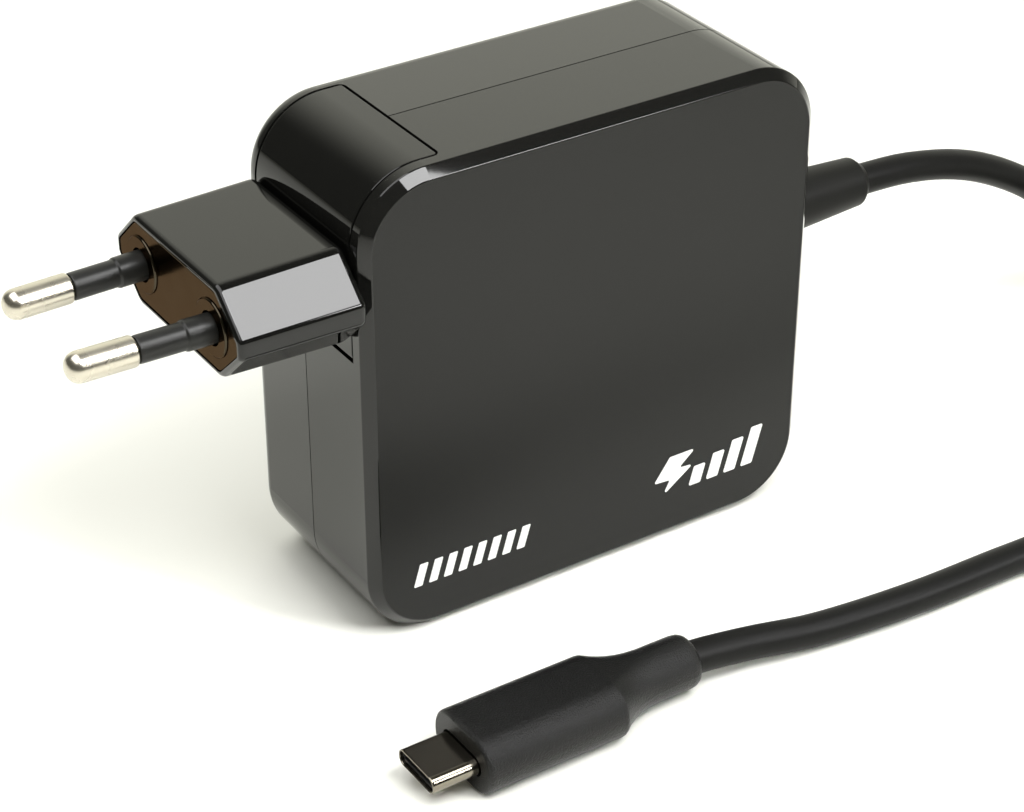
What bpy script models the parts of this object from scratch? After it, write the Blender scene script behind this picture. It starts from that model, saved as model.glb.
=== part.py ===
"""A USB-C wall charger: a square black housing with a removable two-pin plug head in its top left
corner, the power supply inside it, and a moulded lead, coiled beside it, that ends in a USB-C plug.

The charger stands on its narrow base. +X points to the lead's side, +Y to the back, +Z up, and the
origin is the middle of the base. The plug head slides up along +Z to come off."""

import math

import bmesh
import bpy
from mathutils import Vector

MM = 0.001  # the sizes and places below are in millimetres

# Housing
BODY_WIDTH = 70.0
BODY_HEIGHT = 68.0
BODY_DEPTH = 30.0
CORNER_RADIUS = 10.0
FRONT_BEVEL = 1.3
BACK_ROUND = 2.5
WALL = 2.0
PARTING_Y = 0.5
CORNER_STEPS = 8
GAP = 0.3

# Lip where the rear shell enters the front shell
LIP_WIDTH = 0.65
LIP_DEPTH = 1.6
RABBET_WIDTH = 0.95
RABBET_DEPTH = 2.0

# Plug head and the recess that it sits in
HEAD_RIGHT = -22.0
HEAD_BOTTOM = 42.8
HEAD_HALF_DEPTH = 11.7
POCKET_WALL = 1.6
HEAD_TRAVEL = 8.0
LUG_X = (-30.0, -28.0)
LUG_Z = (44.0, 48.0)
LUG_HEIGHT = 0.9

# Arm of the plug head: an eight-sided section, long side along Y
ARM_END = -52.8
ARM_ROOT = -BODY_WIDTH / 2 - GAP
ARM_Z = 52.1
ARM_HALF_DEPTH = 16.5
ARM_HALF_HEIGHT = 6.4
ARM_FLAT_HALF = 11.0
ARM_LAND_HALF = 1.2
ARM_EDGE_ROUND = 0.9
ARM_DRAFT = 0.3
ARM_RIM = 1.25
ARM_WALL = 2.2
CARRIER_THICKNESS = 2.2

# Pins
PIN_BASE_Y = 9.3
PIN_TIP_Y = 8.75
PIN_LENGTH = 19.0
PIN_RADIUS = 2.0
PIN_CORE_RADIUS = 1.3
SLEEVE_LENGTH = 10.0
SLEEVE_RADIUS = 1.8
COLLAR_LENGTH = 3.8
COLLAR_RADIUS = 2.0

# Mains contacts between the housing and the plug head
BLADE_X = (-30.0, -26.0)
BLADE_Y = 5.0
BLADE_THICKNESS = 0.8
BLADE_TOP = 48.5
BLADE_FOOT = 36.0

# Circuit board
BOARD_Y = (7.6, 9.2)
BOARD_INSET = 4.0
PART_SEAT_Y = BOARD_Y[0] - GAP

# Lead
CABLE_DIAMETER = 4.6
GLAND_Z = 37.0
GLAND_END = 56.5
COIL_X = 131.0
COIL_Y = -28.0
COIL_MIDDLE_RADIUS = 27.0
COIL_TURNS_ACROSS = 4
COIL_LAYERS = 2
COIL_REST = 0.9
CABLE_STEP = 1.9 * CABLE_DIAMETER
ROUTE_TO_COIL = (
    (GLAND_END + GAP, PARTING_Y, GLAND_Z),
    (66.0, 0.5, 36.3),
    (78.0, 0.8, 33.2),
    (90.0, 1.4, 27.0),
    (101.0, 2.2, 18.6),
    (112.0, 3.6, 10.6),
    (122.0, 5.2, 5.2),
    (131.0, 5.9, 3.2),
)
ROUTE_TO_PLUG = (
    (131.0, -61.9, 7.8),
    (118.0, -61.0, 7.0),
    (104.0, -58.0, 4.8),
    (90.0, -54.0, 2.9),
    (76.0, -51.0, 2.4),
    (61.0, -48.8, 2.35),
    (46.0, -48.0, 2.35),
    (30.0, -47.6, 2.35),
    (14.0, -46.0, 2.5),
    (4.0, -44.3, 3.3),
    (-4.5, -43.5, 4.0),
)

# USB-C plug, lying on the floor with its mouth towards -X
USB_MOUTH_X = -46.0
USB_Y = -43.5
USB_SHELL_WIDTH = 8.25
USB_SHELL_HEIGHT = 2.4
USB_SHELL_WALL = 0.25
USB_SHELL_LENGTH = 6.65
USB_GRIP_WIDTH = 13.2
USB_GRIP_HEIGHT = 8.0
USB_GRIP_LENGTH = 21.5
USB_SHOULDER = 3.6
USB_NECK_RADIUS = 3.7
USB_NECK_END = -4.85
USB_Z = USB_GRIP_HEIGHT / 2
USB_FACE_X = USB_MOUTH_X + USB_SHELL_LENGTH
USB_POCKET_DEPTH = 13.0

# Finish: colour, roughness, metallic
FINISHES = {
    "satin_black_plastic": ((0.028, 0.028, 0.025), 0.32, 0.0),
    "gloss_black_plastic": ((0.008, 0.008, 0.008), 0.06, 0.0),
    "pin_nickel": ((0.72, 0.69, 0.63), 0.22, 1.0),
    "sleeve_black": ((0.030, 0.030, 0.030), 0.45, 0.0),
    "contact_brass": ((0.75, 0.58, 0.28), 0.30, 1.0),
    "spring_steel": ((0.55, 0.56, 0.58), 0.30, 1.0),
    "board_green": ((0.020, 0.120, 0.060), 0.50, 0.0),
    "board_black": ((0.015, 0.017, 0.020), 0.50, 0.0),
    "fuse_ceramic": ((0.78, 0.76, 0.70), 0.45, 0.0),
    "varistor_blue": ((0.030, 0.100, 0.300), 0.45, 0.0),
    "capacitor_yellow": ((0.70, 0.48, 0.06), 0.45, 0.0),
    "ferrite_grey": ((0.090, 0.090, 0.095), 0.60, 0.0),
    "copper_enamel": ((0.60, 0.24, 0.09), 0.30, 1.0),
    "component_black": ((0.020, 0.020, 0.020), 0.50, 0.0),
    "capacitor_sleeve": ((0.020, 0.024, 0.035), 0.30, 0.0),
    "aluminium": ((0.72, 0.73, 0.75), 0.35, 1.0),
    "bobbin_plastic": ((0.060, 0.050, 0.040), 0.50, 0.0),
    "winding_tape": ((0.80, 0.60, 0.08), 0.40, 0.0),
    "insulating_film": ((0.10, 0.10, 0.11), 0.30, 0.0),
    "thermal_grey": ((0.35, 0.42, 0.50), 0.80, 0.0),
    "wire_brown": ((0.16, 0.07, 0.03), 0.50, 0.0),
    "wire_blue": ((0.04, 0.12, 0.40), 0.50, 0.0),
    "wire_red": ((0.45, 0.03, 0.03), 0.50, 0.0),
    "lead_black": ((0.020, 0.020, 0.019), 0.55, 0.0),
    "tie_black": ((0.015, 0.015, 0.015), 0.80, 0.0),
    "usb_nickel": ((0.52, 0.50, 0.45), 0.25, 1.0),
    "contact_gold": ((0.90, 0.65, 0.25), 0.25, 1.0),
}

for old in list(bpy.data.objects):
    bpy.data.objects.remove(old, do_unlink=True)


# ---------------------------------------------------------------- shared modelling functions

def finish(name):
    """Return the finish's Principled material, made the first time it is asked for."""
    if name in bpy.data.materials:
        return bpy.data.materials[name]
    colour, roughness, metallic = FINISHES[name]
    material = bpy.data.materials.new(name)
    material.use_nodes = True
    shader = material.node_tree.nodes["Principled BSDF"]
    shader.inputs["Base Color"].default_value = (*colour, 1.0)
    shader.inputs["Roughness"].default_value = roughness
    shader.inputs["Metallic"].default_value = metallic
    return material


def add_object(name, data, slot, parent=None, place=(0, 0, 0)):
    """Put a mesh or curve in the scene at a place in millimetres, kept there under its parent."""
    thing = bpy.data.objects.new(name, data)
    bpy.context.scene.collection.objects.link(thing)
    thing.location = Vector(place) * MM
    if parent:
        thing.parent = parent
        thing.location -= parent.location
    if slot:
        data.materials.append(finish(slot))
    return thing


def mesh_from_rings(name, rings, closed=False):
    """Skin a row of equal point loops, given in millimetres. Open rows get flat end caps."""
    shape = bmesh.new()
    loops = [[shape.verts.new(Vector(point) * MM) for point in ring] for ring in rings]
    pairs = list(zip(loops, loops[1:]))
    if closed:
        pairs.append((loops[-1], loops[0]))
    for near, far in pairs:
        for i in range(len(near)):
            j = (i + 1) % len(near)
            shape.faces.new((near[i], near[j], far[j], far[i]))
    if not closed:
        shape.faces.new(loops[0][::-1])
        shape.faces.new(loops[-1])
    bmesh.ops.recalc_face_normals(shape, faces=shape.faces)
    mesh = bpy.data.meshes.new(name)
    shape.to_mesh(mesh)
    shape.free()
    return mesh


def smooth(thing, angle=35.0):
    """Shade a round piece smooth, keeping edges sharper than the angle."""
    thing.data.shade_smooth()
    thing.data.set_sharp_from_angle(angle=math.radians(angle))
    return thing


def fillet(corners, radii, steps):
    """Round each corner of a polygon with an arc. A radius of 0 keeps the corner."""
    if not isinstance(radii, (list, tuple)):
        radii = [radii] * len(corners)
    points = []
    for i, corner in enumerate(corners):
        here = Vector(corner)
        back = (Vector(corners[i - 1]) - here).normalized()
        ahead = (Vector(corners[(i + 1) % len(corners)]) - here).normalized()
        if not radii[i]:
            points.append(tuple(here))
            continue
        half = back.angle(ahead) / 2
        centre = here + (back + ahead).normalized() * (radii[i] / math.sin(half))
        start = here + back * (radii[i] / math.tan(half)) - centre
        end = here + ahead * (radii[i] / math.tan(half)) - centre
        sweep = start.angle_signed(end)
        for k in range(steps + 1):
            turn = -sweep * k / steps
            x = start.x * math.cos(turn) - start.y * math.sin(turn)
            y = start.x * math.sin(turn) + start.y * math.cos(turn)
            points.append((centre.x + x, centre.y + y))
    return points


def along(axis, outline, level):
    """Lay an outline at a level on an axis: X takes (y, z), Y takes (x, z), Z takes (x, y)."""
    if axis == "X":
        return [(level, u, v) for u, v in outline]
    if axis == "Y":
        return [(u, level, v) for u, v in outline]
    return [(u, v, level) for u, v in outline]


def prism(name, axis, outline, low, high, slot=None, parent=None, place=(0, 0, 0)):
    """Extrude an outline along an axis."""
    rings = [along(axis, outline, low), along(axis, outline, high)]
    return add_object(name, mesh_from_rings(name, rings), slot, parent, place)


def block(name, low, high, slot=None, bevel=0.0, parent=None):
    """A box between two opposite corners, with its object at its middle."""
    middle = [(a + b) / 2 for a, b in zip(low, high)]
    half = [abs(b - a) / 2 for a, b in zip(low, high)]
    outline = [(-half[0], -half[1]), (half[0], -half[1]), (half[0], half[1]), (-half[0], half[1])]
    piece = prism(name, "Z", outline, -half[2], half[2], slot, parent, middle)
    if bevel:
        add_bevel(piece, bevel)
    return piece


def add_bevel(piece, width, segments=1):
    """Break the sharp edges of a piece."""
    edge = piece.modifiers.new("edge_break", "BEVEL")
    edge.width = width * MM
    edge.segments = segments
    edge.limit_method = "ANGLE"
    edge.angle_limit = math.radians(40)


def turned(name, profile, place, slot, steps=24, axis="X", closed=False, parent=None):
    """Turn a profile of (distance along the axis, radius). A closed profile makes a tube."""
    rings = []
    for distance, radius in profile:
        angles = [2 * math.pi * i / steps for i in range(steps)]
        circle = [(radius * math.cos(a), radius * math.sin(a)) for a in angles]
        rings.append(along(axis, circle, distance))
    piece = add_object(name, mesh_from_rings(name, rings, closed), slot, parent, place)
    return smooth(piece)


def combine(piece, tool, operation):
    """Cut a tool from a piece, or join it on. The tool stays as a hidden guide."""
    tool.hide_render = True
    tool.display_type = "WIRE"
    step = piece.modifiers.new(tool.name, "BOOLEAN")
    step.operation = operation
    step.object = tool
    step.solver = "EXACT"


def smooth_route(route, step):
    """Points at even steps along a smooth curve through a route (centripetal Catmull-Rom)."""
    knots = [Vector(point) for point in route]
    knots = [2 * knots[0] - knots[1]] + knots + [2 * knots[-1] - knots[-2]]
    fine = []
    for a, b, c, d in zip(knots, knots[1:], knots[2:], knots[3:]):
        t1 = math.sqrt((b - a).length)
        t2 = t1 + math.sqrt((c - b).length)
        t3 = t2 + math.sqrt((d - c).length)
        for k in range(20):
            t = t1 + (t2 - t1) * k / 20
            ab = a.lerp(b, t / t1)
            bc = b.lerp(c, (t - t1) / (t2 - t1))
            cd = c.lerp(d, (t - t2) / (t3 - t2))
            abc = ab.lerp(bc, t / t2)
            bcd = bc.lerp(cd, (t - t1) / (t3 - t1))
            fine.append(abc.lerp(bcd, (t - t1) / (t2 - t1)))
    fine.append(knots[-2])
    lengths = [0.0]
    for near, far in zip(fine, fine[1:]):
        lengths.append(lengths[-1] + (far - near).length)
    count = max(2, round(lengths[-1] / step))
    points = []
    i = 0
    for k in range(count + 1):
        target = lengths[-1] * k / count
        while i < len(fine) - 2 and lengths[i + 1] < target:
            i += 1
        share = (target - lengths[i]) / (lengths[i + 1] - lengths[i])
        points.append(fine[i].lerp(fine[i + 1], share))
    return points


def tube(name, points, diameter, slot, parent=None):
    """A round wire or cable along its points."""
    curve = bpy.data.curves.new(name, "CURVE")
    curve.dimensions = "3D"
    curve.bevel_depth = diameter / 2 * MM
    curve.bevel_resolution = 2
    curve.use_fill_caps = True
    spline = curve.splines.new("POLY")
    spline.points.add(len(points) - 1)
    for knot, point in zip(spline.points, points):
        knot.co = (*(Vector(point) * MM), 1.0)
    return add_object(name, curve, slot, parent)


# ---------------------------------------------------------------- housing

def body_outline(inset):
    """The housing's rounded square, seen from the front, moved in by an inset."""
    side = BODY_WIDTH / 2 - inset
    low = inset
    high = BODY_HEIGHT - inset
    corners = [(-side, low), (side, low), (side, high), (-side, high)]
    return fillet(corners, CORNER_RADIUS - inset, CORNER_STEPS)


def cavity_outline(grow):
    """The room inside the shells: the rounded square less the plug head's corner."""
    side = BODY_WIDTH / 2 - WALL + grow
    low = WALL - grow
    high = BODY_HEIGHT - WALL + grow
    wall_x = HEAD_RIGHT + GAP + POCKET_WALL - grow
    wall_z = HEAD_BOTTOM - GAP - POCKET_WALL + grow
    radius = CORNER_RADIUS - WALL + grow
    corners = [(-side, low), (side, low), (side, high), (wall_x, high), (wall_x, wall_z), (-side, wall_z)]
    return fillet(corners, [radius, radius, radius, 0, 0, 0], CORNER_STEPS)


def cut_recess(shell):
    """Cut the plug head's recess, its guide slots, the contact slots and the detent's window."""
    wall_x = HEAD_RIGHT + GAP
    floor_z = HEAD_BOTTOM - GAP
    half = HEAD_HALF_DEPTH + GAP
    outside = -BODY_WIDTH / 2 - 1
    above = BODY_HEIGHT + 1
    top = LUG_Z[1] + HEAD_TRAVEL + GAP
    cutters = [((outside, -half, floor_z), (wall_x, half, above))]
    for side in (-1, 1):
        near = side * (half - 0.1)
        far = side * (HEAD_HALF_DEPTH + LUG_HEIGHT + GAP)
        slot = ((LUG_X[0] - GAP, near, LUG_Z[0] - GAP), (LUG_X[1] + GAP, far, top))
        entry = ((outside, near, LUG_Z[0] + HEAD_TRAVEL - GAP), (LUG_X[0], far, top))
        blade = side * BLADE_Y
        room = BLADE_THICKNESS / 2 + GAP
        contact = (
            (BLADE_X[0] - GAP, blade - room, floor_z - POCKET_WALL - 1),
            (BLADE_X[1] + GAP, blade + room, floor_z + 1),
        )
        cutters += [slot, entry, contact]
    cutters.append(((wall_x - 1, -1.8, 43.6), (wall_x + POCKET_WALL + 1, 1.8, 49.0)))
    for i, (low, high) in enumerate(cutters):
        combine(shell, block(f"{shell.name}_recess_tool_{i}", low, high), "DIFFERENCE")


def cut_gland_hole(shell):
    """Cut the hole, halved by the parting line, that the strain relief sits in."""
    name = f"{shell.name}_gland_tool"
    tool = turned(name, [(-6, 4.0), (6, 4.0)], (BODY_WIDTH / 2, PARTING_Y, GLAND_Z), None)
    combine(shell, tool, "DIFFERENCE")


def make_front_shell():
    front = -BODY_DEPTH / 2
    back = PARTING_Y - GAP / 2
    rings = [
        along("Y", body_outline(FRONT_BEVEL), front),
        along("Y", body_outline(0), front + FRONT_BEVEL),
        along("Y", body_outline(0), back),
    ]
    shell = add_object("front_shell", mesh_from_rings("front_shell", rings), "satin_black_plastic")
    room = prism("front_cavity_tool", "Y", cavity_outline(0), front + WALL, back + 1)
    rabbet = prism("front_rabbet_tool", "Y", cavity_outline(RABBET_WIDTH), back - RABBET_DEPTH, back + 1)
    combine(shell, room, "DIFFERENCE")
    combine(shell, rabbet, "DIFFERENCE")
    cut_recess(shell)
    cut_gland_hole(shell)


def make_rear_shell():
    front = PARTING_Y + GAP / 2
    back = BODY_DEPTH / 2
    round_steps = 4
    rings = [along("Y", body_outline(0), front)]
    for k in range(round_steps + 1):
        turn = math.pi / 2 * k / round_steps
        inset = BACK_ROUND * (1 - math.cos(turn))
        rings.append(along("Y", body_outline(inset), back - BACK_ROUND + BACK_ROUND * math.sin(turn)))
    shell = add_object("rear_shell", mesh_from_rings("rear_shell", rings), "satin_black_plastic")
    lip = prism("rear_lip_tool", "Y", cavity_outline(LIP_WIDTH), front - LIP_DEPTH, front + 1)
    room = prism("rear_cavity_tool", "Y", cavity_outline(0), front - LIP_DEPTH - 1, back - WALL)
    combine(shell, lip, "UNION")
    combine(shell, room, "DIFFERENCE")
    cut_recess(shell)
    cut_gland_hole(shell)


# ---------------------------------------------------------------- plug head

def arm_outline(inset):
    """The arm's eight-sided section in (y, z), moved in by an inset."""
    depth = ARM_HALF_DEPTH - inset
    height = ARM_HALF_HEIGHT - inset
    slope = (ARM_HALF_DEPTH - ARM_FLAT_HALF) / (ARM_HALF_HEIGHT - ARM_LAND_HALF)
    shift = inset * (math.hypot(1, slope) - 1) / slope
    flat = ARM_FLAT_HALF - inset * (math.hypot(1, slope) - slope)
    land = max(0.2, ARM_LAND_HALF - shift)
    corners = [
        (-flat, -height), (flat, -height), (depth, -land), (depth, land),
        (flat, height), (-flat, height), (-depth, land), (-depth, -land),
    ]
    rounded = fillet(corners, max(0.15, ARM_EDGE_ROUND - inset / 2) if land > 0.5 else 0.12, 2)
    return [(u, v + ARM_Z) for u, v in rounded]


def insert_outline():
    """The plug head's corner block in (x, z); its outer side follows the housing's corner."""
    side = -BODY_WIDTH / 2
    corners = [
        (side, HEAD_BOTTOM), (HEAD_RIGHT, HEAD_BOTTOM), (HEAD_RIGHT, BODY_HEIGHT), (side, BODY_HEIGHT),
    ]
    return fillet(corners, [0.8, 0, 0, CORNER_RADIUS], CORNER_STEPS)


def make_head_shell(parent):
    half = HEAD_HALF_DEPTH
    shell = prism("plug_head_shell", "Y", insert_outline(), -half, half, "gloss_black_plastic", parent)
    arm_rings = [
        along("X", arm_outline(0.8), ARM_END),
        along("X", arm_outline(0), ARM_END + 0.8),
        along("X", arm_outline(-ARM_DRAFT), ARM_ROOT),
    ]
    arm = add_object("arm_tool", mesh_from_rings("arm_tool", arm_rings), None)
    neck = block("arm_neck_tool", (ARM_ROOT - 1, -10.5, ARM_Z - 5.5), (-34.0, 10.5, ARM_Z + 5.5))
    combine(shell, neck, "UNION")
    combine(shell, arm, "UNION")
    for side in (-1, 1):
        low = (LUG_X[0], side * (half - 0.5), LUG_Z[0])
        high = (LUG_X[1], side * (half + LUG_HEIGHT), LUG_Z[1])
        combine(shell, block(f"lug_tool_{side + 1}", low, high), "UNION")
    seat_end = ARM_END + CARRIER_THICKNESS + 0.2
    seat = prism("carrier_seat_tool", "X", arm_outline(ARM_RIM), ARM_END - 1, seat_end)
    bore = prism("arm_bore_tool", "X", arm_outline(ARM_WALL), seat_end - 0.5, ARM_ROOT - 1)
    room = block("head_room_tool", (ARM_ROOT - 2, -9.0, 46.4), (-24.5, 9.0, ARM_Z + 4.0))
    combine(shell, seat, "DIFFERENCE")
    combine(shell, bore, "DIFFERENCE")
    combine(shell, room, "DIFFERENCE")
    for side in (-1, 1):
        slot = block(
            f"blade_slot_tool_{side + 1}",
            (BLADE_X[0] - 0.6, side * BLADE_Y - 1.0, HEAD_BOTTOM - 1),
            (BLADE_X[1] + 0.6, side * BLADE_Y + 1.0, 47.0),
        )
        combine(shell, slot, "DIFFERENCE")
    channel = block("detent_channel_tool", (-23.0, -1.6, HEAD_BOTTOM - 1), (-21.5, 1.6, 58.0))
    combine(shell, channel, "DIFFERENCE")


def make_pin_carrier(parent):
    outline = arm_outline(ARM_RIM + 0.15)
    back = ARM_END + CARRIER_THICKNESS
    carrier = prism("pin_carrier", "X", outline, ARM_END, back, "gloss_black_plastic", parent)
    for side in (-1, 1):
        place = (ARM_END, side * PIN_BASE_Y, ARM_Z)
        boss = turned(f"boss_tool_{side + 1}", [(1.5, 3.3), (6.0, 3.3)], place, None)
        hole = turned(f"pin_hole_tool_{side + 1}", [(-1.0, 2.35), (7.0, 2.35)], place, None)
        combine(carrier, boss, "UNION")
        combine(carrier, hole, "DIFFERENCE")


def make_pins(parent):
    """Two pins that lean towards each other, each with an insulating sleeve near its base."""
    lean = math.atan2(PIN_BASE_Y - PIN_TIP_Y, PIN_LENGTH)
    dome = 1.6
    pin_profile = [(-8.0, PIN_CORE_RADIUS), (SLEEVE_LENGTH + 0.2, PIN_CORE_RADIUS)]
    pin_profile += [(SLEEVE_LENGTH + 0.2, PIN_RADIUS), (PIN_LENGTH - dome, PIN_RADIUS)]
    for k in range(1, 5):
        turn = math.pi / 2 * k / 4.6
        radius = PIN_RADIUS - dome + dome * math.cos(turn)
        pin_profile.append((PIN_LENGTH - dome + dome * math.sin(turn), radius))
    pin_profile.append((PIN_LENGTH, 0.3))
    bore = PIN_CORE_RADIUS + 0.2
    sleeve_profile = [
        (-1.6, COLLAR_RADIUS), (COLLAR_LENGTH, COLLAR_RADIUS), (COLLAR_LENGTH + 0.1, SLEEVE_RADIUS),
        (SLEEVE_LENGTH, SLEEVE_RADIUS), (SLEEVE_LENGTH, bore), (-1.6, bore),
    ]
    for place_name, side in (("front", -1), ("rear", 1)):
        place = (ARM_END, side * PIN_BASE_Y, ARM_Z)
        pin = turned(f"pin_{place_name}", pin_profile, place, "pin_nickel", 20, parent=parent)
        sleeve = turned(
            f"sleeve_{place_name}", sleeve_profile, place, "sleeve_black", 20, closed=True, parent=parent
        )
        for piece in (pin, sleeve):
            piece.rotation_euler.z = math.pi + side * lean


def make_contact_strips(parent):
    """Brass strips from the pins' inner ends to the housing's blades."""
    for place_name, side in (("front", -1), ("rear", 1)):
        near = side * 5.9
        far = side * 6.5
        outline = [(-44.4, 50.2), (-30.0, 50.2), (-30.0, 46.8), (-26.2, 46.8), (-26.2, 54.0), (-44.4, 54.0)]
        strip = prism(f"contact_strip_{place_name}", "Y", outline, near, far, "contact_brass", parent)
        pad = block(f"pad_tool_{place_name}", (-44.5, near, 50.2), (-43.9, side * 11.0, 54.0))
        combine(strip, pad, "UNION")


def make_housing_contacts():
    """Blades that stand up into the plug head, the wires behind them, and the detent spring."""
    half = BLADE_THICKNESS / 2
    for place_name, side, colour in (("front", -1, "wire_brown"), ("rear", 1, "wire_blue")):
        y = side * BLADE_Y
        low = (BLADE_X[0], y - half, BLADE_FOOT)
        high = (BLADE_X[1], y + half, BLADE_TOP)
        block(f"input_blade_{place_name}", low, high, "contact_brass", 0.2)
        route = (
            (-28.0, y, BLADE_FOOT - 1.2),
            (-28.2 + side, y + 0.6, 33.5),
            (-28.6 + side, 4.4 + side * 0.6, 32.5),
            (-28.6 + side * 1.5, 6.9, 32.4 - side * 1.6),
        )
        tube(f"input_wire_{place_name}", smooth_route(route, 1.2), 1.5, colour)
    leaf = [
        (-19.7, 38.0), (-19.4, 38.0), (-19.4, 44.9), (-21.9, 46.2), (-19.4, 47.5), (-19.4, 54.0),
        (-19.7, 54.0), (-19.7, 47.8), (-22.5, 46.2), (-19.7, 44.6),
    ]
    prism("detent_spring", "Y", leaf, -1.2, 1.2, "spring_steel")


# ---------------------------------------------------------------- power supply inside the housing

def board_outline(inset):
    """A sheet that fills the room inside the shells, less the plug head's corner."""
    side = BODY_WIDTH / 2 - inset
    high = BODY_HEIGHT - inset
    wall_x = HEAD_RIGHT + GAP + POCKET_WALL + inset - WALL
    wall_z = HEAD_BOTTOM - GAP - POCKET_WALL - inset + WALL
    radius = CORNER_RADIUS - inset
    corners = [(-side, inset), (side, inset), (side, high), (wall_x, high), (wall_x, wall_z), (-side, wall_z)]
    return fillet(corners, [radius, radius, radius, 0, 0, 0], 4)


def make_sheets():
    sheets = (
        ("main_circuit_board", BOARD_INSET, BOARD_Y, "board_green"),
        ("front_insulating_sheet", 4.2, (-10.9, -10.6), "insulating_film"),
        ("front_heat_spreader", 4.8, (-12.4, -11.4), "aluminium"),
        ("rear_insulating_sheet", 4.2, (10.5, 10.8), "insulating_film"),
        ("rear_heat_spreader", 4.8, (11.3, 12.3), "aluminium"),
    )
    for name, inset, (near, far), slot in sheets:
        prism(name, "Y", board_outline(inset), near, far, slot)


def make_input_parts():
    """Fuse, surge varistor, X capacitor and common-mode choke."""
    fuse_profile = [(-5.0, 1.6), (-4.8, 2.4), (4.8, 2.4), (5.0, 1.6)]
    turned("fuse", fuse_profile, (-14.0, 4.4, 42.5), "fuse_ceramic", 16, "Z")
    disc_profile = [(-1.6, 3.4), (-1.1, 4.6), (1.1, 4.6), (1.6, 3.4)]
    turned("surge_varistor", disc_profile, (-29.9, 2.2, 24.0), "varistor_blue", 20, "X")
    block("x_capacitor", (-29.5, -6.0, 5.2), (-15.0, PART_SEAT_Y, 14.2), "capacitor_yellow", 0.6)
    centre = (-18.6, 1.6, 27.0)
    ring_radius = 5.4
    core_section = [
        (1.7, -1.0), (1.0, -1.7), (-1.0, -1.7), (-1.7, -1.0), (-1.7, 1.0), (-1.0, 1.7), (1.0, 1.7), (1.7, 1.0),
    ]
    profile = [(height, ring_radius + out) for out, height in core_section]
    turned("choke_core", profile, centre, "ferrite_grey", 28, "Y", closed=True)
    for place_name, start in (("left", 115), ("right", -65)):
        make_choke_winding(f"choke_winding_{place_name}", centre, ring_radius, start, 130)


def make_choke_winding(name, centre, ring_radius, start, sweep):
    """A curved sleeve of enamelled wire round one side of the choke's ring."""
    steps = 10
    sides = 12
    inner = 2.6
    outer = 3.3
    rings = []
    for radius, order in ((outer, range(steps + 1)), (inner, range(steps, -1, -1))):
        for k in order:
            turn = math.radians(start + sweep * k / steps)
            ring = []
            for i in range(sides):
                angle = 2 * math.pi * i / sides
                reach = ring_radius + radius * math.cos(angle)
                height = radius * math.sin(angle)
                ring.append((reach * math.cos(turn), height, reach * math.sin(turn)))
            rings.append(ring)
    mesh = mesh_from_rings(name, rings, closed=True)
    smooth(add_object(name, mesh, "copper_enamel", place=centre))


def make_primary_parts():
    """Bridge rectifier, bulk capacitor, switching transistor and its heatsink."""
    block("bridge_rectifier", (-4.5, -3.0, 5.0), (-0.8, PART_SEAT_Y, 17.5), "component_black", 0.4)
    can_profile = [
        (-16.0, 6.8), (-15.4, 7.6), (-14.6, 7.9), (-13.4, 7.9), (-12.8, 7.4), (-12.2, 7.9),
        (15.4, 7.9), (16.0, 7.2),
    ]
    turned("bulk_capacitor", can_profile, (-1.8, -0.9, 55.6), "capacitor_sleeve", 28, "X")
    fold = [(-12.4, -9.6), (-11.2, -9.6), (-11.2, 5.6), (-7.4, 5.6), (-7.4, 6.8), (-12.4, 6.8)]
    prism("primary_heatsink", "Z", fold, 5.0, 18.0, "aluminium")
    block("switching_transistor", (-10.9, -5.0, 6.5), (-6.6, 5.0, 16.5), "component_black", 0.4)


def make_transformer():
    """Ferrite core with two windows, the bobbin round its middle leg, and the taped winding."""
    x, y, z = 4.0, -1.2, 32.0
    core = block("transformer_core", (x - 13, y - 5, z - 12), (x + 13, y + 5, z + 12), "ferrite_grey")
    for side in (-1, 1):
        low = (x + side * 3.6, y - 6, z - 7.6)
        high = (x + side * 9.4, y + 6, z + 7.6)
        combine(core, block(f"window_tool_{side + 1}", low, high), "DIFFERENCE")
    bobbin_profile = ((-7.3, 8.7), (-6.5, 8.7), (-6.5, 4.7), (6.5, 4.7), (6.5, 8.7), (7.3, 8.7))
    hole = 3.9
    rings = [square_ring(half, 1.4, level) for level, half in bobbin_profile]
    rings += [square_ring(hole, 1.4, 7.3), square_ring(hole, 1.4, -7.3)]
    mesh = mesh_from_rings("transformer_bobbin", rings, closed=True)
    add_object("transformer_bobbin", mesh, "bobbin_plastic", place=(x, y, z))
    winding_profile = ((-6.2, 8.2), (6.2, 8.2), (6.2, 5.0), (-6.2, 5.0))
    rings = [square_ring(half, 1.4, level) for level, half in winding_profile]
    mesh = mesh_from_rings("transformer_winding", rings, closed=True)
    add_object("transformer_winding", mesh, "winding_tape", place=(x, y, z))
    block("thermal_pad", (x - 7.5, -10.3, z - 6), (x + 7.5, -10.0, z + 6), "thermal_grey")


def square_ring(half_width, extra_depth, level):
    """A rectangle about the Z axis, deeper along Y than it is wide."""
    depth = half_width + extra_depth if half_width < 8 else half_width
    return [
        (-half_width, -depth, level), (half_width, -depth, level),
        (half_width, depth, level), (-half_width, depth, level),
    ]


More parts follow.
